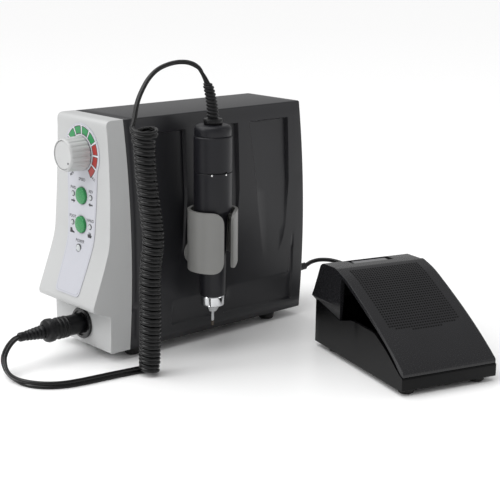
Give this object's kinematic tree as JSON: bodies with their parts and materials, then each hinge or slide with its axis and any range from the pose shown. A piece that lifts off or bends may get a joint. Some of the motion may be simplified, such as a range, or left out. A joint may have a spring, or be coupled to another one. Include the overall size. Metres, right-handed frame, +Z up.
{
  "type": "electric nail drill",
  "caption": "Desktop electric nail drill: slim control box with speed knob and buttons, side cradle, handpiece on a curly cord, wedge foot pedal on a lead.",
  "frame": {"origin": "middle of the footprint of the box, handpiece and pedal together, on the table; the free cords are left out", "axes": "+Z up; -Y is the side the control panel faces; +X is the box's side with the cradle, towards the pedal"},
  "size_m": [0.2628, 0.3251, 0.2105],
  "materials": {
    "housing": "light grey fine-grained moulding",
    "overlay": "printed satin film",
    "knob": "light grey moulding",
    "green": "moulded green",
    "lamp": "clear lens, unlit",
    "case": "satin black",
    "rubber": "moulded",
    "cradle": "mid grey, smooth",
    "handpiece": "matt black coating",
    "cable": "smooth jacket",
    "pedal": "black, polished",
    "board": "lacquered board",
    "steel": "turned",
    "chrome": "plated",
    "iron": "stacked sheet",
    "copper": "wound copper wire",
    "label": "blank plate"
  },
  "bodies": {
    "control_box": {"front_housing": "housing", "panel_overlay": "overlay", "lamp_forward": "lamp", "lamp_reverse": "lamp", "lamp_foot": "lamp", "lamp_hand": "lamp", "lamp_power": "lamp", "speed_pot": "steel", "hinge_pin": "steel", "pedal_spring": "steel", "control_board": "board", "handpiece_socket": "cable", "plug_shell": "cable", "plug_boot": "cable", "cord_floor": "cable", "cord_curl": "cable", "pedal_plug": "cable", "pedal_gland": "cable", "pedal_lead": "cable", "pedal_coil": "cable", "pedal_tail": "cable", "case_shell": "case", "base_plate": "case", "mains_inlet": "case", "switch_frame": "case", "fuse_cap": "case", "pedal_switch": "case", "box_foot_1": "rubber", "box_foot_2": "rubber", "box_foot_3": "rubber", "box_foot_4": "rubber", "pedal_foot_1": "rubber", "pedal_foot_2": "rubber", "pedal_foot_3": "rubber", "pedal_foot_4": "rubber", "transformer_core": "iron", "transformer_winding": "copper", "cradle": "cradle", "pedal_base": "pedal", "pedal_bottom": "pedal"},
    "speed_knob": {"speed_knob": "knob", "knob_cap": "knob", "knob_shaft": "steel"},
    "direction_button": {"direction_button": "green"},
    "mode_button": {"mode_button": "green"},
    "power_rocker": {"power_rocker": "case"},
    "handpiece": {"rear_cap": "handpiece", "rear_barrel": "handpiece", "handpiece_boot": "cable", "motor_can": "iron", "front_bearing": "steel", "rear_bearing": "steel", "cord_arch": "cable"},
    "front_sleeve": {"front_sleeve": "handpiece", "nose_collar": "chrome"},
    "spindle": {"spindle": "steel", "nail_bit": "steel", "motor_rotor": "copper"},
    "treadle": {"treadle": "pedal", "pedal_nameplate": "label"}
  },
  "joints": [
    {"name": "speed_knob_turn", "type": "hinge", "parent": "control_box", "child": "speed_knob", "pos_m": [-0.09703, -0.10845, 0.1446], "axis": [0, -1, 0], "range_deg": [0, 265]},
    {"name": "direction_button_press", "type": "slide", "parent": "control_box", "child": "direction_button", "axis": [0, 1, 0], "range_m": [0, 0.0012], "stiffness_N_per_m": 400, "springref_m": -0.002},
    {"name": "mode_button_press", "type": "slide", "parent": "control_box", "child": "mode_button", "axis": [0, 1, 0], "range_m": [0, 0.0012], "stiffness_N_per_m": 400, "springref_m": -0.002},
    {"name": "power_rocker_tilt", "type": "hinge", "parent": "control_box", "child": "power_rocker", "pos_m": [-0.08303, 0.08445, 0.132], "axis": [-1, 0, 0], "range_deg": [0, 18]},
    {"name": "handpiece_lift", "type": "slide", "parent": "control_box", "child": "handpiece", "axis": [0, 0, 1], "range_m": [0, 0.1]},
    {"name": "sleeve_twist", "type": "hinge", "parent": "handpiece", "child": "front_sleeve", "pos_m": [-0.04103, -0.02576, 0.11], "axis": [0, 0, 1], "range_deg": [0, 45]},
    {"name": "spindle_spin", "type": "hinge", "parent": "handpiece", "child": "spindle", "pos_m": [-0.04103, -0.02576, 0.06], "axis": [0, 0, 1], "continuous": true},
    {"name": "treadle_press", "type": "hinge", "parent": "control_box", "child": "treadle", "pos_m": [0.1121, 0.04614, 0.0096], "axis": [-0.2756, -0.9613, 0], "range_deg": [0, 3.5], "stiffness_Nm_per_rad": 3, "springref_deg": -3.44, "deforming": ["pedal_spring"]}
  ]
}
